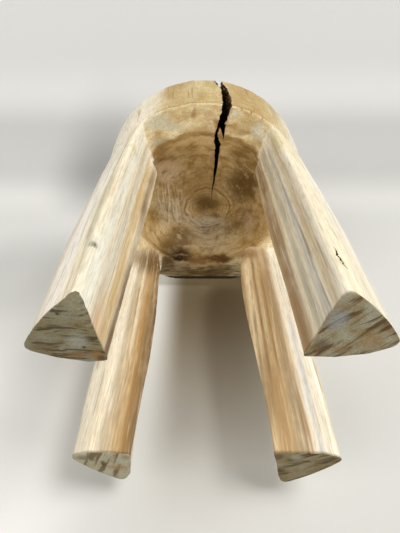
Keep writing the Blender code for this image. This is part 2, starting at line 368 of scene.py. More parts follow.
def shaved_flats(points, normals):
    """Long knife flats down the outside of the log: how far each point is cut back."""
    chance = np.random.default_rng(FLAT_SEED)
    edges = [0.0]
    while edges[-1] < 2.0 * math.pi:
        edges.append(edges[-1] + chance.uniform(*FLAT_WIDTHS))
    edges = np.array(edges[:-1] + [2.0 * math.pi])
    depths = chance.uniform(*FLAT_SHARES, size=len(edges))
    x, y, z = points.T
    drift = 0.05 * np.sin(z * 9.0 + 1.0) + 0.02 * np.sin(z * 31.0)
    angle = np.mod(np.arctan2(y, x) + drift, 2.0 * math.pi)
    index = np.clip(np.searchsorted(edges, angle, side="right") - 1, 0, len(edges) - 2)
    low, high = edges[index], edges[index + 1]
    share = (angle - low) / (high - low) * 2.0 - 1.0
    radius = np.hypot(x, y)
    rise = radius * (1.0 - np.cos((high - low) / 2.0)) * (1.0 - share * share)
    outward = (normals[:, 0] * x + normals[:, 1] * y) / np.maximum(radius, 1e-6)
    strength = depths[index] * (0.75 + 0.5 * waves(points, *FLAT_WAVES))
    return rise * np.clip(strength, 0.0, 1.1) * smooth_step(outward, 0.80, 0.97)


def gouged_cups(points, normals):
    """Shallow overlapping gouge cups over the bowl and, fainter, over the rim band."""
    chance = np.random.default_rng(CUP_SEED)
    centres = chance.uniform(-CUP_FIELD, CUP_FIELD, size=(CUP_COUNT, 2))
    low = (normals[:, 2] < -0.45) & (points[:, 2] > RIM_HEIGHT - 0.004)
    spots = points[low, :2]
    deepest = np.zeros(len(spots))
    for centre in centres:
        reach = chance.uniform(*CUP_REACHES)
        long = chance.uniform(*CUP_STRETCHES)
        turn = math.atan2(centre[1], centre[0]) + math.pi / 2.0 + chance.normal() * 0.5
        run_x, run_y = (spots - centre).T
        along = (run_x * math.cos(turn) + run_y * math.sin(turn)) / (reach * long)
        across = (run_y * math.cos(turn) - run_x * math.sin(turn)) / reach
        cup = (1.0 - along * along - across * across) * chance.uniform(0.4, 1.0)
        deepest = np.maximum(deepest, cup)
    cut = np.zeros(len(points))
    cut[low] = deepest * (CUP_DEPTH - CUP_BAND_LESS * smooth_step(np.hypot(*spots.T), 0.095, 0.115))
    return cut


def carve(points, normals):
    """Move each point of the surface in along its normal by the depth of the marks on it."""
    upright = smooth_step(1.0 - np.abs(normals[:, 2]), 0.35, 0.7)
    depth = shaved_flats(points, normals)
    depth += RIPPLES[0] * upright * (1.0 + waves(points, *RIPPLES[1:]))
    depth += FUZZ[0] * (1.0 + waves(points, *FUZZ[1:]))
    depth += gouged_cups(points, normals)
    for place, reach, sink in DENTS:
        distance = np.linalg.norm((points - np.array(place)) * np.array((1.0, 1.0, 0.6)), axis=1)
        depth += sink * np.exp(-(distance / reach) ** 2)
    lift = smooth_step(points[:, 2], 0.0004, 0.004)
    return points - normals * (depth * lift)[:, None]


# The drying crack in the seat's underside: distance behind the heart (negative is to the front)
# and the side of the crack there, in millimetres
CRACK_LEFT = ((-166, 22.8), (-146, 22.3), (-141, 22.0), (-136, 20.8), (-130, 19.4), (-122, 17.2), (-115, 15.4),
              (-111, 14.0), (-107, 12.8), (-95, 13.2), (-85, 13.8), (-75, 14.3), (-62, 14.7), (-53, 14.3),
              (-43, 13.6), (-33, 12.9), (-23, 12.1), (-13, 10.9), (2, 10.4))
CRACK_RIGHT = ((-166, 37.5), (-146, 34.9), (-141, 33.5), (-136, 31.6), (-130, 29.4), (-122, 27.6), (-116.5, 26.2),
               (-115, 19.0), (-111, 17.2), (-105, 16.8), (-99, 18.6), (-95, 19.8), (-85, 20.7), (-75, 20.8),
               (-62, 19.7), (-53, 18.4), (-43, 17.1), (-33, 15.7), (-23, 14.2), (-13, 12.0), (2, 10.7))
# Above the splinter the crack is one open space
CRACK_RIGHT_INNER = CRACK_RIGHT[:6] + ((-116.5, 26.2), (-108, 24.6), (-99, 22.4), (-90, 21.4)) + CRACK_RIGHT[12:]
PRONG_LEFT = ((-120, 18.6), (-115, 19.4), (-110, 21.9), (-104, 23.7), (-99, 24.6))
PRONG_RIGHT = ((-120, 27.6), (-114, 26.2), (-107, 25.5), (-99, 24.9))
# Height of the crack's section above the rim, its lean to the left and its width
CRACK_LEAN = ((-20, 0.0), (0, 0.0), (12, -0.2), (24, 0.1), (54, 1.9), (64, 3.0), (97, 9.3), (112, 11.5))
CRACK_WIDTH = ((-20, 1.0), (0, 1.0), (12, 0.96), (26, 0.98), (54, 0.68), (64, 0.62), (97, 0.68), (112, 0.7))
CRACK_LENGTH = 148.0
# Tears in the crack's walls: pitch along it, pitch up the grain and share
TEARS = ((9.0, 42.0, 0.50), (5.0, 13.0, 0.75), (2.6, 5.0, 0.75), (1.7, 2.6, 0.55))
# Points of the walls: pitch along the crack, lowest and highest, rows, and the thinnest opening
WALL_PITCH = 1.2
WALL_REACH = (-12.0, 106.0)
WALL_ROWS = 86
THINNEST_OPENING = 0.12

# Short checks: start, end, width, depth and the way out of the wood, and the steps along each
# and how far its cutter stands out of the wood
CHECK_STEPS = 14
CHECK_STAND = 0.004
CHECKS = (
    ((0.0885, -0.1224, 0.0500), (0.0930, -0.1190, 0.0280), 0.0030, 0.006, (0.6, -0.8, 0.0)),
    ((0.0450, -0.1405, 0.3385), (0.0475, -0.1370, 0.3330), 0.0016, 0.004, (0.4, -0.8, -0.5)),
    ((0.0580, -0.1355, 0.3390), (0.0600, -0.1320, 0.3330), 0.0018, 0.004, (0.4, -0.8, -0.5)),
    ((0.0725, -0.1290, 0.3385), (0.0735, -0.1250, 0.3330), 0.0014, 0.004, (0.5, -0.7, -0.5)),
)


def new_object(name, data):
    item = bpy.data.objects.new(name, data)
    bpy.context.scene.collection.objects.link(item)
    return item


def new_mesh_object(name, verts, faces, material):
    mesh = bpy.data.meshes.new(name)
    mesh.from_pydata(verts, [], faces)
    mesh.materials.append(material)
    mesh.update()
    return new_object(name, mesh)


def torn_edge(chance, along, heights):
    """Ragged offset over a wall of the crack, longer up the grain than across it."""
    total = np.zeros((len(heights), len(along)))
    for pitch, tall, share in TEARS:
        wide = int(np.ptp(along) / pitch) + 3
        high = int(np.ptp(heights) / tall) + 3
        values = chance.uniform(-1.0, 1.0, size=(high, wide))
        across = (along - along.min()) / pitch
        rows = (heights - heights.min()) / tall
        column = np.clip(across.astype(int), 0, wide - 2)
        row = np.clip(rows.astype(int), 0, high - 2)
        mix_x = across - column
        mix_z = (rows - row)[:, None]
        low = values[row][:, column] * (1 - mix_x) + values[row][:, column + 1] * mix_x
        top = values[row + 1][:, column] * (1 - mix_x) + values[row + 1][:, column + 1] * mix_x
        total += share * (low * (1 - mix_z) + top * mix_z)
    return total


def crack_walls(left, right, inner, seed, ragged):
    """Places along the crack, its heights, and its two walls at each, in millimetres."""
    chance = np.random.default_rng(seed)
    left, right, inner = np.array(left), np.array(right), np.array(inner)
    along = np.linspace(left[0, 0], left[-1, 0], int(abs(left[0, 0] - left[-1, 0]) / WALL_PITCH) + 2)
    heights = np.linspace(*WALL_REACH, WALL_ROWS)
    left_side = np.interp(along, left[:, 0], left[:, 1])
    shallow = smooth_step(-heights, -11.0, -4.0)[:, None]
    right_side = np.interp(along, right[:, 0], right[:, 1]) * shallow
    right_side = right_side + np.interp(along, inner[:, 0], inner[:, 1]) * (1.0 - shallow)
    half = (right_side - left_side) / 2.0
    reach = np.clip((2.0 - along) / CRACK_LENGTH, 0.0, 1.2)
    lean = np.interp(heights, *np.array(CRACK_LEAN).T)[:, None] * reach
    opening = half * np.interp(heights, *np.array(CRACK_WIDTH).T)[:, None]
    middle = (left_side + right_side) / 2.0 - lean
    calm = np.clip(half / 2.2, 0.12, 1.0) * np.interp(along, (-110.0, -85.0), (1.0, 0.5)) * ragged
    wall_left = middle - opening + torn_edge(chance, along, heights) * calm
    wall_right = middle + opening + torn_edge(chance, along, heights) * calm
    return along, heights, wall_left, np.maximum(wall_right, wall_left + THINNEST_OPENING)


def tube_faces(ring, rings):
    """Quads between rings of points that follow one another."""
    return [(base + step, base + ring + step, base + ring + (step + 1) % ring, base + (step + 1) % ring)
            for base in range(0, (rings - 1) * ring, ring) for step in range(ring)]


def crack_cutter(name, left, right, inner, seed, ragged, material):
    """Solid that opens the crack: ragged walls that meet at the crack's tip."""
    along, heights, wall_left, wall_right = crack_walls(left, right, inner, seed, ragged)
    rows, steps = len(heights), len(along)
    ring = steps * 2
    verts = []
    for row, height in enumerate(heights / 1000.0 + RIM_HEIGHT):
        round_x = np.concatenate([wall_left[row], wall_right[row][::-1]]) / 1000.0
        round_y = np.concatenate([along, along[::-1]]) / 1000.0
        verts += [(x, y, height) for x, y in zip(round_x, round_y)]
    faces = tube_faces(ring, rows)
    for row in (0, rows - 1):
        for step in range(steps - 1):
            quad = [row * ring + corner for corner in (step, step + 1, ring - 2 - step, ring - 1 - step)]
            faces.append(tuple(quad if row == 0 else quad[::-1]))
    return new_mesh_object(name, verts, faces, material)


def wedge_cutter(number, start, end, width, depth, outward, material):
    """Thin check that opens along a line on the surface and closes inside the wood."""
    name = f"check_{number}"
    start, end, outward = Vector(start), Vector(end), Vector(outward).normalized()
    across = (end - start).normalized().cross(outward).normalized()
    chance = np.random.default_rng(sum(ord(letter) * (place + 1) for place, letter in enumerate(name)))
    verts = []
    for step in range(CHECK_STEPS + 1):
        share = step / CHECK_STEPS
        centre = start.lerp(end, share) + across * float(chance.normal()) * width * 0.35
        half = width * 0.5 * math.sin(math.pi * min(max(share, 0.06), 0.94)) ** 0.7
        mouth = centre + outward * CHECK_STAND
        verts += [mouth - across * half, mouth + across * half,
                  centre - outward * depth * math.sin(math.pi * min(max(share, 0.1), 0.9))]
    last = CHECK_STEPS * 3
    faces = [(0, 1, 2), (last + 2, last + 1, last)] + tube_faces(3, CHECK_STEPS + 1)
    return new_mesh_object(name, [tuple(vert) for vert in verts], faces, material)


def face_outward(item):
    """Turn a cutter's faces outward."""
    builder = bmesh.new()
    builder.from_mesh(item.data)
    bmesh.ops.recalc_face_normals(builder, faces=builder.faces)
    if builder.calc_volume(signed=True) < 0.0:
        bmesh.ops.reverse_faces(builder, faces=builder.faces)
    builder.to_mesh(item.data)
    builder.free()


def cut_out(piece, cutters):
    """Take the cutters out of the piece for good."""
    for cutter in cutters:
        face_outward(cutter)
        change = piece.modifiers.new(cutter.name, "BOOLEAN")
        change.operation = "DIFFERENCE"
        change.solver = "MANIFOLD"
        change.object = cutter
        change.material_mode = "TRANSFER"
    bpy.context.view_layer.update()
    evaluated = bpy.context.evaluated_depsgraph_get()
    mesh = bpy.data.meshes.new_from_object(piece.evaluated_get(evaluated), depsgraph=evaluated)
    piece.modifiers.clear()
    piece.data = mesh
    for cutter in cutters:
        bpy.data.objects.remove(cutter, do_unlink=True)


def tone(red, green, blue):
    """Linear colour of a tone given from 0 to 255."""
    parts = [part / 255.0 for part in (red, green, blue)]
    parts = [part / 12.92 if part <= 0.04045 else ((part + 0.055) / 1.055) ** 2.4 for part in parts]
    return (*parts, 1.0)


class Graph:
    """A node tree, with short ways to add to it."""

    def __init__(self, tree):
        self.nodes = tree.nodes
        self.links = tree.links

    def feed(self, socket, value):
        if isinstance(value, Value):
            self.links.new(value.socket, socket)
        elif value is not None:
            single = isinstance(value, float) and socket.type == "VECTOR"
            socket.default_value = (value,) * 3 if single else value

    def add(self, kind, *values, **settings):
        node = self.nodes.new(kind)
        for name, setting in settings.items():
            setattr(node, name, setting)
        for socket, value in zip(node.inputs, values):
            self.feed(socket, value)
        return node

    def source(self, kind, output):
        return Value(self, self.nodes.new(kind).outputs[output])

    def work(self, operation, *values, **settings):
        """Plain or vector arithmetic, whichever fits the values."""
        plain = all(not isinstance(value, Value) or value.socket.type == "VALUE" for value in values)
        kind = "ShaderNodeMath" if plain else "ShaderNodeVectorMath"
        node = self.add(kind, *values, operation=operation, **settings)
        single = plain or operation in ("LENGTH", "DISTANCE", "DOT_PRODUCT")
        return Value(self, node.outputs["Value" if single else "Vector"])

    def join(self, x, y, z):
        return Value(self, self.add("ShaderNodeCombineXYZ", x, y, z).outputs[0])

    def mix(self, share, first, second):
        node = self.add("ShaderNodeMix", share, data_type="RGBA")
        self.feed(node.inputs[6], first)
        self.feed(node.inputs[7], second)
        return Value(self, node.outputs[2])


class Value:
    """A number, place or colour that varies over the surface, for use in plain arithmetic."""

    def __init__(self, graph, socket):
        self.graph = graph
        self.socket = socket

    def __add__(self, other):
        return self.graph.work("ADD", self, other)

    def __sub__(self, other):
        return self.graph.work("SUBTRACT", self, other)

    def __rsub__(self, other):
        return self.graph.work("SUBTRACT", other, self)

    def __mul__(self, other):
        return self.graph.work("MULTIPLY", self, other)

    def __abs__(self):
        return self.graph.work("ABSOLUTE", self)

    def length(self):
        return self.graph.work("LENGTH", self)

    def parts(self):
        return [Value(self.graph, part) for part in self.graph.add("ShaderNodeSeparateXYZ", self).outputs]

    def ease(self, low, high, start=0.0, end=1.0):
        """Smooth step from start at low to end at high."""
        node = self.graph.add("ShaderNodeMapRange", self, low, high, start, end, interpolation_type="SMOOTHSTEP")
        return Value(self.graph, node.outputs[0])

    def on_line(self, line):
        slope, start = line
        return self * slope + start

    def near(self, place, far, close):
        return abs(self - place).ease(far, close)

    def noise(self, scale, detail=2.0, roughness=0.5, twist=0.0, output="Fac"):
        node = self.graph.add("ShaderNodeTexNoise", self)
        for name, value in (("Scale", scale), ("Detail", detail), ("Roughness", roughness), ("Distortion", twist)):
            node.inputs[name].default_value = value
        return Value(self.graph, node.outputs[output])

    def bend(self, source, scale, reach, detail=2.0):
        """This place pushed about in plan by a noise of the source."""
        push = source.noise(scale, detail, 0.55, output="Color") - (0.5, 0.5, 0.5)
        return self + push * (reach, reach, 0.0)

    def distance(self, along, across, squash=1.0):
        """Distance in plan to a place given in millimetres."""
        run = self - (along / 1000.0, across / 1000.0, 0.0)
        return (run if squash == 1.0 else run * (1.0, 1.0 / squash, 0.0)).length()

    def ramp(self, *stops):
        node = self.graph.add("ShaderNodeValToRGB", self)
        elements = node.color_ramp.elements
        while len(elements) < len(stops):
            elements.new(0.5)
        for element, (place, colour) in zip(elements, stops):
            element.position = place
            element.color = colour if len(colour) == 4 else tone(*colour)
        return Value(self.graph, node.outputs[0])

    def tint(self, *layers):
        """This colour with layers laid over it in turn: how much of each, and its tone."""
        colour = self
        for share, top in layers:
            if not isinstance(top, Value) and len(top) == 3:
                top = tone(*top)
            colour = self.graph.mix(share, colour, top)
        return colour

    def stain(self, place, spots, share):
        """This colour with a soft stain at each spot."""
        colour = self
        for along, across, half, squash, spot, strength in spots:
            cover = place.distance(along, across, squash).ease(half * 0.00125, half * 0.00025)
            colour = colour.tint((cover * strength * share, spot))
        return colour


HEART = (0.0045, 0.0170, 0.0)
RIM_LINE = 0.3385
BOWL_LIP = 0.107

# Lines that the crack follows: slope and start, inside and outside the splinter and up the side
CRACK_LINE_INNER = (-0.075, 0.0104)
CRACK_LINE_OUTER = (-0.190, 0.0011)
CRACK_LINE_SIDE = (-0.203, 0.1027)

# Streaks down the legs, among them a painted highlight and painted shade: place in plan and half width in
# millimetres, lowest and highest reach in metres, tone and strength
STREAKS = (
    (-71.5, -64.5, 6.0, -0.1, 0.32, (106, 78, 44), 0.92),
    (-71.5, -67, 8.0, 0.19, 0.32, (112, 84, 50), 0.92),
    (-74, -77, 7.5, -0.1, 0.32, (208, 178, 120), 0.92),
    (-76, -86, 1.3, -0.1, 0.30, (160, 126, 82), 0.55),
    # Painted shade: greyer inner face of the front left leg
    (-77.5, -94, 6.0, -0.1, 0.33, (218, 213, 194), 0.88),
    (-76, -90, 9.0, -0.1, 0.045, (222, 184, 138), 0.80),
    # Pale worn ridge of the front left leg, made brighter still as a painted highlight
    (-80, -111, 9.0, -0.1, 0.34, (255, 254, 238), 0.98),
    (-88, -121, 3.4, 0.05, 0.20, (204, 202, 180), 0.75),
    (-91, -119, 1.2, 0.05, 0.30, (150, 146, 130), 0.60),
    (-86, -123, 4.0, 0.01, 0.06, (196, 190, 166), 0.60),
    (-108, -102, 15.0, -0.1, 0.34, (255, 248, 238), 0.88),
    (-100, -111, 1.0, -0.1, 0.30, (168, 156, 140), 0.60),
    (-114, -94, 1.0, -0.1, 0.24, (178, 166, 150), 0.50),
    (-110, 86, 16.0, -0.1, 0.34, (194, 180, 148), 0.82),
    (70.5, -73, 9.0, -0.1, 0.33, (152, 120, 80), 0.90),
    (72, -79, 1.8, 0.05, 0.33, (118, 88, 54), 0.45),
    (75, -91, 6.0, -0.1, 0.33, (186, 181, 162), 0.85),
    (78, -103, 5.0, -0.1, 0.30, (184, 182, 176), 0.70),
    (78.5, -105.5, 1.4, 0.02, 0.22, (142, 140, 146), 0.50),
    (81, -114, 5.0, -0.1, 0.33, (208, 188, 152), 0.75),
    (96, -117, 10.0, -0.1, 0.34, (246, 236, 200), 0.80),
    (104, -108, 12.0, 0.23, 0.36, (224, 208, 160), 0.65),
    (85, -123, 9.0, 0.25, 0.36, (224, 208, 158), 0.80),
    (-90, 72, 1.5, 0.0, 0.33, (112, 88, 60), 0.90),
    (-106, 72, 1.2, 0.11, 0.26, (134, 112, 86), 0.80),
    (-105, 72, 8.0, -0.1, 0.33, (228, 212, 180), 0.60),
    (-104, 72, 2.2, -0.1, 0.11, (252, 244, 218), 0.90),
    (-95, 72, 6.0, -0.1, 0.33, (178, 160, 128), 0.88),
    (-86, 72, 1.6, -0.1, 0.12, (140, 102, 60), 0.75),
    (-81, 72, 6.0, -0.1, 0.33, (172, 140, 94), 0.90),
    (-76.5, 72, 2.6, -0.1, 0.26, (150, 112, 66), 0.80),
    # Dark brown inner side face of the rear left leg, deepened by painted shade
    (-71, 72, 5.0, -0.1, 0.31, (120, 96, 60), 0.92),
    (-63, 76, 7.5, -0.1, 0.325, (88, 60, 32), 0.95),
    (61, 69, 5.5, -0.1, 0.31, (250, 228, 186), 0.92),
    (76, 70, 8.0, -0.1, 0.34, (178, 148, 106), 0.75),
    (70, 70, 1.8, 0.08, 0.34, (112, 80, 46), 0.70),
    (80, 70, 1.6, 0.10, 0.34, (122, 90, 54), 0.55),
    (90, 70, 8.0, -0.1, 0.34, (148, 128, 96), 0.80),
    (74, 70, 3.0, 0.10, 0.33, (206, 188, 146), 0.60),
    (62, 70, 2.4, -0.1, 0.20, (126, 94, 56), 0.70),
    (66, 70, 5.0, 0.04, 0.14, (142, 112, 72), 0.60),
    (94.5, 70.5, 1.2, -0.1, 0.07, (96, 74, 54), 0.70),
    (103, 71, 5.0, 0.04, 0.30, (222, 216, 200), 0.60),
    (107, 71, 3.0, -0.1, 0.18, (190, 192, 194), 0.80),
)

# Knots and spots on the legs, and painted shade at the rear legs' tops: place in plan in millimetres, height in
# metres, half width in millimetres, tone and strength
SPOTS = (
    (-84.0, -119.0, 0.0600, 7.0, (206, 204, 184), 0.55),
    (-81.0, -120.0, 0.0565, 2.8, (100, 94, 76), 0.90),
    (-84.5, -121.0, 0.0570, 3.0, (146, 142, 122), 0.80),
    (-78.5, -119.0, 0.0440, 2.4, (150, 130, 92), 0.70),
    (-77.0, -120.0, 0.0320, 3.0, (216, 186, 124), 0.60),
    (-76.0, -122.0, 0.0200, 4.6, (206, 166, 92), 0.75),
    (-79.0, -118.0, 0.250, 8.0, (238, 224, 160), 0.60),
    (91.0, -119.0, 0.035, 5.0, (196, 176, 140), 0.60),
    (72.0, 71.0, 0.312, 4.0, (190, 134, 76), 0.55),
    (-94.0, 74.0, 0.312, 28.0, (158, 138, 106), 0.80),
    # Painted shade at the tops of the rear legs, under the seat
    (-72.0, 74.0, 0.294, 31.0, (98, 73, 43), 0.87),
    (68.0, 74.0, 0.316, 14.0, (150, 114, 70), 0.70),
    (84.0, -110.0, 0.120, 8.0, (226, 204, 190), 0.50),
)

# Stains on the underside, and painted shade at the band's rear: place and half width in millimetres, squash across,
# tone, strength
BOWL_STAINS = (
    (0, -88, 54, 0.45, (216, 184, 126), 0.80),
    (4, -36, 44, 0.9, (168, 136, 84), 0.65),
    (60, -24, 30, 1.2, (82, 54, 4), 0.86),
    (56, -76, 26, 1.0, (122, 90, 38), 0.70),
    (-62, -80, 18, 0.8, (170, 132, 84), 0.55),
    (-22, -80, 16, 0.5, (150, 112, 54), 0.50),
    (-56, -46, 26, 1.0, (212, 184, 150), 0.70),
    (26, -74, 10, 0.9, (216, 184, 128), 0.50),
    (-14, -10, 26, 0.9, (146, 114, 68), 0.60),
    (2, 11, 24, 0.75, (78, 50, 10), 0.92),
    (6, 20, 5, 0.8, (160, 126, 74), 0.75),
    (-34, 8, 14, 1.0, (180, 156, 118), 0.55),
    (4, 46, 38, 0.6, (178, 166, 142), 0.80),
    (20, 56, 30, 0.5, (136, 110, 78), 0.50),
    (-60, 20, 20, 1.6, (178, 162, 134), 0.75),
    (66, 34, 18, 1.6, (168, 138, 104), 0.60),
    (8, 68, 50, 0.5, (176, 160, 130), 0.60),
    (-34, 34, 22, 0.8, (196, 182, 156), 0.60),
    (18, 29, 9, 0.7, (100, 72, 32), 0.80),
    (54, 42, 22, 1.3, (128, 100, 60), 0.60),
    (12, 86, 40, 0.28, (178, 160, 128), 0.60),
    (-42, 72, 34, 0.75, (108, 88, 58), 0.94),
    (-60, 84, 18, 0.9, (84, 60, 26), 0.92),
)
WALL_STAINS = (
    (-4, 100, 74, 0.15, (106, 78, 42), 0.90),
    (-42, 94, 24, 0.60, (30, 12, 0), 0.99),
    (20, 99, 26, 0.28, (76, 46, 12), 0.85),
    (36, 98, 12, 0.5, (84, 54, 22), 0.70),
)
BAND_STAINS_AND_SHADE = (
    (-13, -134, 4, 2.0, (150, 108, 64), 0.70),
    (15, -122, 6, 1.8, (150, 112, 54), 0.90),
    (37, -117, 9, 0.6, (158, 120, 62), 0.80),
    (50, -110, 14, 0.4, (132, 94, 46), 0.60),
    (56, -120, 18, 0.6, (180, 152, 96), 0.70),
    (68, -112, 11, 1.2, (190, 190, 180), 0.60),
    (36, -132, 7, 0.7, (206, 204, 186), 0.60),
    (-58, -122, 24, 0.5, (192, 186, 164), 0.75),
    (-40, -118, 22, 0.3, (196, 188, 164), 0.60),
    (4, -112, 30, 0.25, (166, 132, 82), 0.60),
    (-60, -96, 16, 0.6, (168, 158, 134), 0.60),
    # Painted shade: these three darken the band's rear
    (0, 122, 80, 0.30, (84, 64, 28), 0.95),
    (-60, 112, 30, 0.8, (112, 92, 60), 0.85),
    (-60, 98, 16, 0.8, (84, 60, 28), 0.92),
    (62, 80, 12, 1.0, (190, 168, 132), 0.60),
    (-78, 66, 12, 1.0, (196, 178, 144), 0.60),
)

# Feet: side in x and in y, turn of the saw marks in degrees, how close they lie, ground, streak
# and second tones, and stains
FEET = (
    (-1, -1, 6.0, 260.0, (118, 106, 74), (70, 58, 38), (134, 130, 108), (
        (-112, -74, 12, 0.5, (98, 80, 54), 0.60), (-90, -66, 10, 0.4, (120, 84, 48), 0.70),
        (-77, -66, 5, 1.4, (136, 100, 56), 0.80), (-74, -62, 4, 1.0, (92, 58, 28), 0.85),
        (-88, -80, 9, 1.0, (150, 148, 134), 0.70), (-85, -115, 7, 1.6, (130, 124, 98), 0.85),
        (-96, -106, 1.6, 1.0, (52, 40, 26), 0.90), (-85, -74, 1.6, 1.0, (60, 46, 30), 0.90))),
    (1, -1, -46.0, 170.0, (130, 110, 70), (80, 56, 28), (154, 150, 128), (
        (78, -76, 7, 1.0, (96, 80, 64), 0.70), (84, -100, 8, 1.4, (140, 144, 144), 0.65),
        (112, -80, 9, 1.0, (148, 118, 80), 0.50), (92, -72, 8, 0.6, (134, 102, 64), 0.55))),
    (-1, 1, -64.0, 140.0, (158, 148, 118), (104, 86, 54), (174, 170, 148), (
        (-112, 79, 8, 0.7, (110, 100, 78), 0.70), (-84, 98, 12, 0.5, (152, 122, 78), 0.80),
        (-96, 90, 2.4, 3.0, (84, 66, 40), 0.80), (-74, 78, 5, 1.0, (136, 112, 78), 0.60))),
    (1, 1, -30.0, 160.0, (120, 106, 70), (74, 56, 32), (142, 132, 104), (
        (66, 76, 7, 1.0, (92, 68, 40), 0.75), (70, 104, 8, 0.7, (70, 56, 36), 0.80),
        (96, 86, 5, 0.6, (84, 62, 36), 0.75), (84, 78, 8, 0.7, (172, 168, 150), 0.60))),
)


def leg_marks(colour, wood):
    """Streaks, knots and spots that the photo shows down the legs, among them painted highlight and painted shade.
    """
    z = wood.z
    on_leg = z.ease(0.345, 0.318)
    broken = wood.blotch.ease(0.30, 0.55, 0.65, 1.0)
    for along, across, half, low, high, streak, strength in STREAKS:
        cover = wood.streak_place.distance(along, across).ease(half * 0.00145, half * 0.00015)
        reach = z.ease(low - 0.03, low + 0.02) * z.ease(high + 0.02, high - 0.04)
        colour = colour.tint((cover * reach * broken * strength * on_leg, streak))
    flat_place = wood.streak_place * (1.0, 1.0, 0.0)
    for along, across, height, half, spot, strength in SPOTS:
        flat = flat_place.distance(along, across)
        rise = (z - height) * 0.85
        away = wood.graph.work("SQRT", flat * flat + rise * rise)
        colour = colour.tint((away.ease(half * 0.0013, half * 0.0004, 0.0, strength), spot))
    return colour


def seat_side_tones(colour, wood, seat_side):
    """Tan front, cream left and cross marks on the seat's side."""
    x, y = wood.x, wood.y
    patch = wood.blotch.ramp((0.34, (172, 142, 84)), (0.50, (190, 166, 110)), (0.64, (208, 190, 140)))
    front = y.ease(-0.085, -0.125) * x.ease(-0.090, -0.045)
    left = x.ease(-0.045, -0.095)
    right = x.near(0.058, 0.034, 0.008) * y.ease(-0.06, -0.11)
    marks = (wood.bent_all * (0.16, 0.16, 1.0)).noise(300.0, 3.0, 0.6)
    return colour.tint(
        (seat_side * front * 0.90, patch),
        (seat_side * left * 0.60, (252, 243, 224)),
        (seat_side * right * 0.70, (184, 154, 102)),
        (marks.ease(0.48, 0.34, 0.0, 0.16) * seat_side, (160, 132, 88)),
        (marks.ease(0.54, 0.68, 0.0, 0.20) * seat_side, (246, 234, 202)))


def rim_line_and_crack_shade(colour, wood, seat_side):
    """Pencil-thin line along the seat's lower edge, and painted shade beside the top of the crack: a near-black
    jagged line for the crack wall's shaded face.
    """
    x, y, z = wood.x, wood.y, wood.z
    clear_of_legs = wood.graph.work("MAXIMUM", abs(x).ease(0.088, 0.070), abs(y).ease(0.072, 0.056))
    rim = z.near(RIM_LINE, 0.0016, 0.0004) * seat_side * wood.middle.ease(0.36, 0.5) * clear_of_legs
    # Painted shade: near-black jagged line beside the crack's top, for the crack wall's shaded face
    beside = abs(x + 0.0009 - z.on_line(CRACK_LINE_SIDE))
    ragged = wood.fibre.ease(0.40, 0.52, 0.0012, 0.0024)
    lip = wood.graph.work("LESS_THAN", beside, ragged) * z.ease(0.404, 0.410) * y.ease(-0.10, -0.12)
    return colour.tint((rim * 0.60, (120, 98, 66)), (lip * 0.90, (34, 22, 14)))


def long_grain(wood):
    """Pale sapwood and tan heartwood down the split and shaved sides."""
    z, fine, sap = wood.z, wood.fine, wood.sap
    cream = wood.middle.ramp((0.28, (230, 214, 180)), (0.44, (243, 233, 206)), (0.68, (251, 245, 226)))
    tan = wood.middle.ramp((0.28, (172, 138, 92)), (0.48, (196, 164, 118)), (0.70, (216, 190, 148)))
    colour = tan.tint(
        (sap, cream),
        (wood.broad.ease(0.52, 0.68) * 0.40, (234, 210, 160)),
        (wood.grain.noise(21.0, 1.0).ease(0.55, 0.68) * sap * 0.40, (216, 212, 204)))
    colour = leg_marks(colour, wood)
    seat_side = z.ease(0.322, 0.340) * wood.from_heart.ease(0.12, 0.135)
    colour = seat_side_tones(colour, wood, seat_side)
    lines = 1.0 - seat_side * 0.70
    colour = colour.tint(
        (fine.ease(0.47, 0.34) * sap.ease(0.2, 0.9, 0.60, 0.34) * lines, (168, 136, 96)),
        (fine.ease(0.55, 0.68, 0.0, 0.38) * sap.ease(0.3, 0.9) * lines, (255, 249, 232)),
        (fine.ease(0.54, 0.66, 0.0, 0.40) * sap.ease(0.9, 0.3) * lines, (228, 204, 158)),
        (wood.grain.noise(210.0, 1.0).ease(0.68, 0.72, 0.0, 0.42), (136, 106, 72)),
        (wood.fibre.ease(0.55, 0.36, 0.0, 0.20), (132, 102, 68)))
    colour = rim_line_and_crack_shade(colour, wood, seat_side)
    return colour.tint((z.ease(0.0032, 0.0008, 0.0, 0.55), (92, 78, 54)))


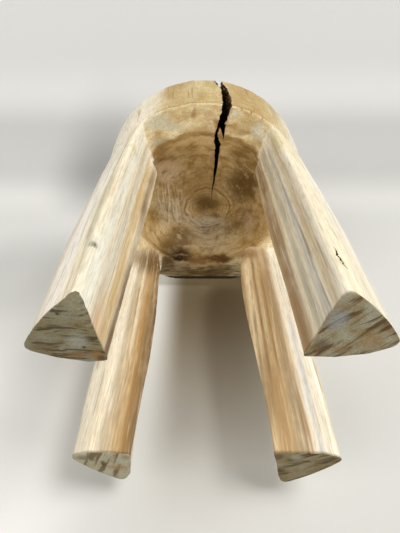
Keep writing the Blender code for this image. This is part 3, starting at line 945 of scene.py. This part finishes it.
def bowl_wood(wood, gouge, arcs, cloud, radius):
    """Stained and gouged heartwood of the bowl, with its rings and the shaved patch at the left."""
    hollow = cloud.ramp((0.30, (140, 108, 56)), (0.48, (176, 144, 88)), (0.66, (200, 172, 122)))
    soft_place = wood.bent.bend(wood.bent, 34.0, 0.012, 1.0)
    colour = hollow.stain(soft_place, BOWL_STAINS, cloud.ease(0.25, 0.55, 0.7, 1.0))
    arc_share = radius.ease(0.020, 0.045, 0.3, 1.0)
    ring = wood.rings.ease(0.49, 0.40) * cloud.ease(0.40, 0.54, 0.05, 1.0)
    fine_ring = wood.fine_rings.ease(0.47, 0.36) * wood.from_heart.ease(0.080, 0.030)
    colour = colour.tint(
        (arcs.ease(0.50, 0.34, 0.0, 0.50) * arc_share, (116, 86, 40)),
        (arcs.ease(0.54, 0.66, 0.0, 0.40) * arc_share, (208, 182, 134)),
        (gouge.ease(0.50, 0.28, 0.0, 0.45) * radius.ease(0.030, 0.060, 0.25, 1.0), (96, 66, 28)),
        (gouge.ease(0.53, 0.74, 0.0, 0.36) * radius.ease(0.035, 0.065, 0.2, 1.0), (206, 184, 148)),
        (ring * wood.from_heart.ease(0.066, 0.030) * 0.55, (92, 64, 28)),
        (fine_ring * 0.34, (96, 68, 28)),
        (ring * gouge.ease(0.42, 0.55) * 0.30, (100, 70, 32)))
    strokes = (wood.bent * (0.30, 1.0, 1.0)).noise(170.0, 4.0, 0.65)
    colour = colour.stain(wood.stain_place, WALL_STAINS, strokes.ease(0.62, 0.46, 0.60, 1.0))
    shaved = (wood.bent * (1.0, 0.10, 1.0)).noise(330.0, 3.0, 0.6)
    shaved_left = wood.bent.distance(-52, 6, 1.9).ease(0.026, 0.010)
    return colour.tint(
        (shaved.ease(0.50, 0.64, 0.0, 0.50) * shaved_left, (226, 210, 182)),
        (shaved.ease(0.48, 0.36, 0.0, 0.55) * shaved_left, (128, 98, 60)))


def band_wood(wood, gouge, arcs, cloud):
    """Paler band of the seat's underside round the bowl, lined at the rear and darkened there with painted shade.
    """
    band = cloud.ramp((0.30, (196, 168, 118)), (0.48, (214, 192, 144)), (0.66, (228, 212, 172)))
    band = band.tint(
        (arcs.ease(0.49, 0.38, 0.0, 0.40), (164, 134, 86)),
        (arcs.ease(0.54, 0.64, 0.0, 0.45), (238, 230, 204)),
        (gouge.ease(0.46, 0.34, 0.0, 0.45), (166, 138, 94)),
        (gouge.ease(0.54, 0.68, 0.0, 0.50), (240, 228, 192)))
    streaks = (wood.bent * (0.10, 1.0, 1.0)).noise(420.0, 3.0, 0.6)
    band = band.stain(wood.stain_place, BAND_STAINS_AND_SHADE, gouge.ease(0.28, 0.50, 0.6, 1.0))
    return band.tint((streaks.ease(0.52, 0.38, 0.0, 0.75) * wood.y.ease(0.098, 0.112), (60, 44, 20)))


def hollow_wood(wood):
    """Underside of the seat: the bowl, the band round it, its lip and the stain by the crack."""
    radius = wood.stain_place.length()
    unit = wood.graph.work("NORMALIZE", wood.bent)
    gouge = (unit * 0.055 + wood.graph.join(0.0, 0.0, wood.bent.length())).noise(95.0, 4.0, 0.62)
    arcs = (unit * 0.030 + wood.graph.join(0.0, 0.0, radius)).noise(150.0, 3.0, 0.6)
    cloud = wood.bent.noise(34.0, 4.0, 0.62)
    colour = bowl_wood(wood, gouge, arcs, cloud, radius)
    by_crack = abs(wood.x - wood.crack_line).ease(0.0095, 0.0030) * wood.y.ease(0.0, -0.02)
    return colour.tint(
        (radius.ease(0.1065, 0.1135), band_wood(wood, gouge, arcs, cloud)),
        (radius.near(BOWL_LIP, 0.0055, 0.001) * wood.y.ease(0.02, -0.03) * 0.45, (132, 98, 54)),
        (by_crack * cloud.ease(0.38, 0.55) * 0.45, (140, 104, 54)),
        (wood.speck.ease(0.58, 0.36, 0.0, 0.22), (88, 62, 34)))


def sawn_top(wood):
    """Flat sawn top of the seat: rings, a dark heart and pale sapwood at the rim."""
    cloud = wood.bent.noise(26.0, 3.0, 0.55)
    colour = cloud.ramp((0.30, (186, 154, 108)), (0.50, (206, 178, 132)), (0.70, (222, 198, 156)))
    saw = (wood.bent * (1.0, 0.06, 0.0)).noise(260.0, 2.0)
    rays = wood.graph.work("NORMALIZE", wood.bent - HEART).noise(38.0, 2.0)
    return colour.tint(
        (wood.from_heart.ease(0.096, 0.132, 0.0, 0.75), (234, 220, 186)),
        (wood.rings.ease(0.52, 0.38) * 0.50, (146, 108, 66)),
        (wood.fine_rings.ease(0.58, 0.38, 0.0, 0.28), (160, 124, 82)),
        (wood.from_heart.ease(0.034, 0.006, 0.0, 0.55), (124, 88, 48)),
        (saw.ease(0.56, 0.70, 0.0, 0.20), (128, 102, 70)),
        (rays.ease(0.62, 0.70) * 0.25, (138, 104, 66)),
        (wood.speck.ease(0.58, 0.36, 0.0, 0.15), (110, 82, 50)))


def foot_ends(wood):
    """Weathered sawn feet, each with its own saw marks and stains."""
    colour = None
    ground_noise = wood.bent.noise(60.0, 3.0, 0.6)
    for side_x, side_y, turn, pitch, ground, streak, second, stains in FEET:
        angle = math.radians(turn)
        along = wood.graph.work("DOT_PRODUCT", wood.bent, (math.cos(angle), math.sin(angle), 0.0))
        across = wood.graph.work("DOT_PRODUCT", wood.bent, (-math.sin(angle), math.cos(angle), 0.0))
        marks = wood.graph.join(along * 0.16, across, 0.0).noise(pitch, 3.0, 0.6, 0.4)
        foot = ground_noise.ramp((0.34, ground), (0.66, second)).tint(
            (marks.ease(0.51, 0.38, 0.0, 0.90), streak), (marks.ease(0.56, 0.66, 0.0, 0.50), second))
        foot = foot.stain(wood.streak_place, stains, 1.0)
        here = [wood.graph.work("GREATER_THAN", place * side, 0.0)
                for place, side in ((wood.x, side_x), (wood.y, side_y))]
        colour = foot if colour is None else colour.tint((here[0] * here[1], foot))
    return colour.tint((wood.speck.ease(0.60, 0.34, 0.0, 0.30), (82, 72, 52)))


def new_material(name):
    material = bpy.data.materials.new(name)
    material.use_nodes = True
    graph = Graph(material.node_tree)
    return material, graph, graph.nodes.get("Principled BSDF")


def add_bump(graph, shader, height, strength, distance):
    node = graph.nodes.new("ShaderNodeBump")
    node.inputs["Strength"].default_value = strength
    node.inputs["Distance"].default_value = distance
    graph.feed(node.inputs["Height"], height)
    graph.links.new(node.outputs[0], shader.inputs["Normal"])


def wood_places(graph):
    """The places and noises that all of the wood's colours share."""
    source = graph.nodes.new("ShaderNodeTexCoord")
    position, normal = (Value(graph, source.outputs[name]) for name in ("Object", "Normal"))
    x, y, z = position.parts()
    slow = position * (1.0, 1.0, 0.30)
    plan = position * (1.0, 1.0, 0.0)
    bent = plan.bend(slow, 13.0, 0.012)
    grain = bent + graph.join(0.0, 0.0, z * 0.030)
    wood = SimpleNamespace(graph=graph, x=x, y=y, z=z, bent=bent, grain=grain, facing_z=normal.parts()[2])
    wood.bent_all = bent + graph.join(0.0, 0.0, plan.noise(22.0, 2.0) * 0.020 + z)
    wood.fine = grain.noise(380.0, 3.0, 0.6)
    wood.middle = grain.noise(85.0, 2.0, 0.5)
    wood.broad = grain.noise(30.0, 2.0, 0.5)
    wood.fibre = (position * (1.0, 1.0, 0.09)).noise(800.0, 2.0, 0.6)
    wood.blotch = (position * (1.0, 1.0, 0.45)).noise(38.0, 3.0, 0.6)
    wood.speck = position.noise(600.0, 2.0, 0.6)
    wood.streak_place = plan.bend(slow, 20.0, 0.007, 3.0)
    wood.stain_place = plan.bend(plan, 45.0, 0.017, 4.0)
    wobbly = bent.bend(plan, 24.0, 0.016, 2.0).bend(plan, 80.0, 0.007, 3.0)
    wood.from_heart = graph.work("DISTANCE", wobbly, HEART)
    ring_line = graph.join(wood.from_heart, 0.0, 0.0)
    wood.rings = ring_line.noise(190.0, 2.0, 0.6)
    wood.fine_rings = ring_line.noise(700.0, 2.0, 0.6)
    wood.crack_line = graph.work("MAXIMUM", y.on_line(CRACK_LINE_INNER), y.on_line(CRACK_LINE_OUTER))
    wood.sap = (wood.from_heart + (wood.middle - 0.5) * 0.030).ease(0.090, 0.122)
    return wood


def carved_wood():
    """Bare wood of one log: long grain down the sides, end grain above, below and on the feet."""
    material, graph, shader = new_material("carved_wood")
    wood = wood_places(graph)
    y, z, facing_z = wood.y, wood.z, wood.facing_z
    end_grain = abs(facing_z).ease(0.45, 0.75)
    rear_edge = y.ease(0.1305, 0.1330) * abs(wood.x).ease(0.070, 0.058)
    rear_edge = rear_edge * z.ease(0.330, 0.332) * facing_z.ease(-0.20, -0.50)
    colour = long_grain(wood).tint(
        (end_grain, sawn_top(wood)),
        (facing_z.ease(-0.25, -0.6) * z.ease(0.30, 0.32), hollow_wood(wood)),
        (facing_z.ease(-0.35, -0.75) * z.ease(0.022, 0.012), foot_ends(wood)),
        (rear_edge * 0.92, (20, 15, 9)))
    graph.feed(shader.inputs["Base Color"], colour)
    rough = wood.middle.ease(0.3, 0.7, 0.74, 0.60) + end_grain * 0.14
    graph.feed(shader.inputs["Roughness"], rough)
    shader.inputs["Specular IOR Level"].default_value = 0.12
    side_bump = (wood.fine * 0.5 + wood.fibre * 0.35) * (1.0 - end_grain)
    end_bump = (wood.fine_rings * 0.5 + wood.speck * 0.35) * end_grain
    add_bump(graph, shader, side_bump + end_bump, 0.45, 0.0006)
    return material


def torn_wood():
    """Torn fibres inside the drying crack: near black deep down, where the dark fibres carry painted shade, brown
    and speckled at its mouth.
    """
    material, graph, shader = new_material("torn_wood")
    position = graph.source("ShaderNodeTexCoord", "Object")
    fibres = (position * (1.0, 1.0, 0.20)).noise(420.0, 4.0, 0.65)
    tears = (position * (1.0, 1.0, 0.6)).noise(260.0, 3.0, 0.6)
    z = position.parts()[2]
    near_side = (position * (1.0, 1.0, 0.0)).length().ease(0.122, 0.147)
    mouth = graph.work("MAXIMUM", near_side, z.ease(0.341, 0.3345) * 0.7)
    mouth = graph.work("MAXIMUM", mouth, z.ease(0.420, 0.431))
    # Near black away from the mouth: dark fibres with painted shade of the narrow crack
    deep = fibres.ramp((0.40, (18, 11, 8)), (0.62, (70, 46, 28)))
    shallow = fibres.ramp((0.42, (30, 19, 12)), (0.56, (112, 80, 48)), (0.66, (226, 194, 150)))
    colour = deep.tint((mouth * tears.ease(0.40, 0.58, 0.30, 1.0), shallow))
    graph.feed(shader.inputs["Base Color"], colour)
    graph.feed(shader.inputs["Roughness"], fibres.ease(0.3, 0.7, 0.82, 0.95))
    shader.inputs["Specular IOR Level"].default_value = 0.15
    add_bump(graph, shader, fibres, 0.9, 0.0012)
    return material


def crack_cutters():
    torn = torn_wood()
    cutters = [crack_cutter("crack", CRACK_LEFT, CRACK_RIGHT, CRACK_RIGHT_INNER, 5, 1.30, torn),
               crack_cutter("crack_prong", PRONG_LEFT, PRONG_RIGHT, PRONG_RIGHT, 6, 0.6, torn)]
    return cutters + [wedge_cutter(number, *check, torn) for number, check in enumerate(CHECKS)]


def add_log():
    """The whole stool as one piece, in place of the five nodes."""
    verts, faces = mesh_field()
    mesh = bpy.data.meshes.new("carved_log")
    mesh.from_pydata(verts.tolist(), [], faces.tolist())
    mesh.validate()
    normals = np.empty(len(verts) * 3, dtype=np.float32)
    mesh.vertex_normals.foreach_get("vector", normals)
    moved = carve(verts, normals.reshape(-1, 3).astype(float))
    half_width = CAD_BOX[1][0]
    moved[:, :2] = np.clip(moved[:, :2], -half_width, half_width)
    moved[:, 2] = np.clip(moved[:, 2], 0.0, HEIGHT)
    mesh.vertices.foreach_set("co", moved.astype(np.float32).ravel())
    mesh.update()
    log = new_object("carved_log", mesh)
    mesh.materials.append(carved_wood())
    cut_out(log, crack_cutters())
    log.data.shade_smooth()
    log.data.set_sharp_from_angle(angle=SHARP_ANGLE)
    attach(log, "root")
    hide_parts("seat", "front_left_leg", "front_right_leg", "rear_left_leg", "rear_right_leg")


# Camera: focal length and image height in pixels, sensor in millimetres, place in metres and
# turns in radians
FOCAL_PIXELS = 390.0
IMAGE_HEIGHT = 533.0
SENSOR = 36.0
CAMERA_PLACE = (-0.0029, -0.2798, -0.1792)
CAMERA_PITCH = 0.6512
CAMERA_YAW = -0.0082
CAMERA_ROLL = -0.0041


def add_camera():
    """Camera at the photograph's place: below the feet and in front, looking up into the bowl."""
    forward = Vector((math.sin(CAMERA_YAW) * math.cos(CAMERA_PITCH), math.sin(CAMERA_PITCH),
                      math.cos(CAMERA_YAW) * math.cos(CAMERA_PITCH)))
    right = Vector((forward.z, 0.0, -forward.x)).normalized()
    up = right.cross(forward)
    turned_right = right * math.cos(CAMERA_ROLL) + up * math.sin(CAMERA_ROLL)
    turned_up = up * math.cos(CAMERA_ROLL) - right * math.sin(CAMERA_ROLL)
    data = bpy.data.cameras.new("photo_camera")
    data.sensor_width = SENSOR
    data.sensor_fit = "AUTO"
    data.lens = FOCAL_PIXELS * SENSOR / IMAGE_HEIGHT
    data.clip_start = 0.01
    data.clip_end = 30.0
    camera = new_object("photo_camera", data)
    turn = Matrix((turned_right, turned_up, -forward)).transposed().to_4x4()
    camera.matrix_world = Matrix.Translation(CAMERA_PLACE) @ turn
    bpy.context.scene.camera = camera


ROOM_LIGHT = 0.22
PAPER_LIGHT = 0.62
SEEN_LIGHT = 0.78
LAMP_TARGET = Vector((0.0, 0.0, 0.20))
# Each lamp: direction from the stool, distance, width, share of full light on a surface that
# faces it, and colour
LAMPS = (
    ("key_light", (0.42, -0.85, -0.10), 4.0, 1.9, 0.80, (1.0, 0.99, 0.97)),
    ("left_light", (-0.66, -0.50, -0.56), 3.2, 2.4, 0.50, (1.0, 0.99, 0.97)),
    ("right_light", (0.32, -0.40, -0.86), 3.2, 1.6, 0.28, (1.0, 0.99, 0.97)),
    ("top_light", (0.20, 0.30, 0.93), 3.0, 2.0, 0.48, (1.0, 1.0, 1.0)),
)

# The paper behind and under the stool
PAPER_HALF_WIDTH = 1.6
PAPER_RUN = 3.0
FLOOR_DROP = 0.0006
SWEEP_PLACE = 0.1555
SWEEP_BEND_START = 0.56
SWEEP_BEND = 0.30
SWEEP_TURN = math.radians(84.0)
SWEEP_STEPS = 24
BLACK = (0.0, 0.0, 0.0, 1.0)


def add_lamps():
    for name, direction, distance, size, share, colour in LAMPS:
        data = bpy.data.lights.new(name, "AREA")
        data.shape = "DISK"
        data.size = size
        data.energy = share * (math.pi * distance) ** 2
        data.color = colour
        lamp = new_object(name, data)
        lamp.location = LAMP_TARGET + Vector(direction).normalized() * distance
        lamp.rotation_euler = (LAMP_TARGET - lamp.location).to_track_quat("-Z", "Y").to_euler()


def shaded_paper(colour, position):
    """The soft shades and the bright corner that the photo's paper shows round the stool, all painted into its
    colour: painted shade along the bend and towards the near end, two painted shadows left of the seat, a painted
    warm shadow between the rear legs, painted light making the low left corner bright, and a plain greyer tone on
    the upper wall.
    """
    x, _, z = position.parts()

    def away_from(place, tall):
        return ((position - place) * (1.0, 0.0, tall)).length()

    # Across the gap between the rear legs, for the painted warm shadow
    between = x.ease(-0.075, -0.030) * x.ease(0.105, 0.080)
    return colour.tint(
        (z.ease(0.72, 0.84), (0.665, 0.662, 0.645, 1.0)),
        # Painted shade along the paper's bend
        (z.ease(0.63, 0.73) * z.ease(0.848, 0.80) * 0.26, BLACK),
        # Painted shadow of the seat to its left
        (away_from((-0.235, 0.0, 0.70), 1.0).ease(0.17, 0.02, 0.0, 0.42), BLACK),
        # Painted shadow at the left of the legs
        (away_from((-0.34, 0.0, 0.36), 0.8).ease(0.16, 0.03, 0.0, 0.22), BLACK),
        # Painted light: paler paper at the low left corner
        (x.ease(-0.10, -0.20) * z.ease(0.22, 0.08), (0.88, 0.875, 0.845, 1.0)),
        # Painted shade towards the near end of the paper
        (z.ease(0.26, 0.06, 0.0, 0.13), BLACK),
        # Painted warm shadow under the seat between the rear legs
        (z.ease(-0.06, 0.30) * z.ease(0.46, 0.40) * between, (0.22, 0.175, 0.11, 1.0)))


def paper(name, shaded):
    """Matt pale paper that only the camera sees, and only from its front."""
    material, graph, shader = new_material(name)
    graph.nodes.remove(shader)
    position = graph.source("ShaderNodeTexCoord", "Object")
    colour = position.noise(3.0, 2.0).ramp((0.3, (0.67, 0.665, 0.635, 1.0)), (0.7, (0.72, 0.715, 0.69, 1.0)))
    if shaded:
        colour = shaded_paper(colour, position)
    seen = graph.work("SUBTRACT", graph.source("ShaderNodeLightPath", "Is Camera Ray"),
                      graph.source("ShaderNodeNewGeometry", "Backfacing"), use_clamp=True)
    clear = graph.source("ShaderNodeBsdfTransparent", 0)
    matt = Value(graph, graph.add("ShaderNodeBsdfDiffuse", colour).outputs[0])
    mixed = graph.add("ShaderNodeMixShader", seen, clear, matt)
    graph.links.new(mixed.outputs[0], graph.nodes["Material Output"].inputs["Surface"])
    return material


def add_paper(name, verts, faces, shaded):
    piece = new_mesh_object(name, verts, faces, paper(name + "_paper", shaded))
    piece.data.shade_smooth()
    piece.visible_shadow = False


def add_world():
    """Soft light from the room, stronger from the side of the pale paper that the stool lies on."""
    world = bpy.data.worlds.new("studio")
    bpy.context.scene.world = world
    world.use_nodes = True
    graph = Graph(world.node_tree)
    y = graph.source("ShaderNodeTexCoord", "Generated").parts()[1]
    share = y.ease(-0.20, 0.30, ROOM_LIGHT, PAPER_LIGHT)
    seen = graph.source("ShaderNodeLightPath", "Is Camera Ray")
    strength = graph.add("ShaderNodeMix", seen, None, share, SEEN_LIGHT)
    background = graph.nodes["Background"]
    background.inputs["Color"].default_value = (1.0, 0.99, 0.975, 1.0)
    graph.links.new(strength.outputs[0], background.inputs["Strength"])


def add_stage():
    """Upright paper sweep behind the stool, floor, room light and lamps."""
    profile = [(SWEEP_PLACE, -0.30), (SWEEP_PLACE, SWEEP_BEND_START)]
    for step in range(1, SWEEP_STEPS + 1):
        angle = SWEEP_TURN * step / SWEEP_STEPS
        profile.append((SWEEP_PLACE - SWEEP_BEND * (1.0 - math.cos(angle)),
                        SWEEP_BEND_START + SWEEP_BEND * math.sin(angle)))
    profile.append((profile[-1][0] - PAPER_RUN, profile[-1][1] + PAPER_RUN * 0.1))
    wide = PAPER_HALF_WIDTH
    verts = [(x, y, z) for y, z in profile for x in (-wide, wide)]
    faces = [(i * 2, i * 2 + 1, i * 2 + 3, i * 2 + 2) for i in range(len(profile) - 1)]
    add_paper("sweep", verts, faces, True)
    corners = [(x, y, -FLOOR_DROP) for x, y in ((-wide, -wide), (wide, -wide), (wide, wide), (-wide, wide))]
    add_paper("floor", corners, [(0, 1, 2, 3)], False)
    add_world()
    add_lamps()


add_log()
add_camera()
add_stage()
bpy.context.scene.view_settings.view_transform = "Standard"
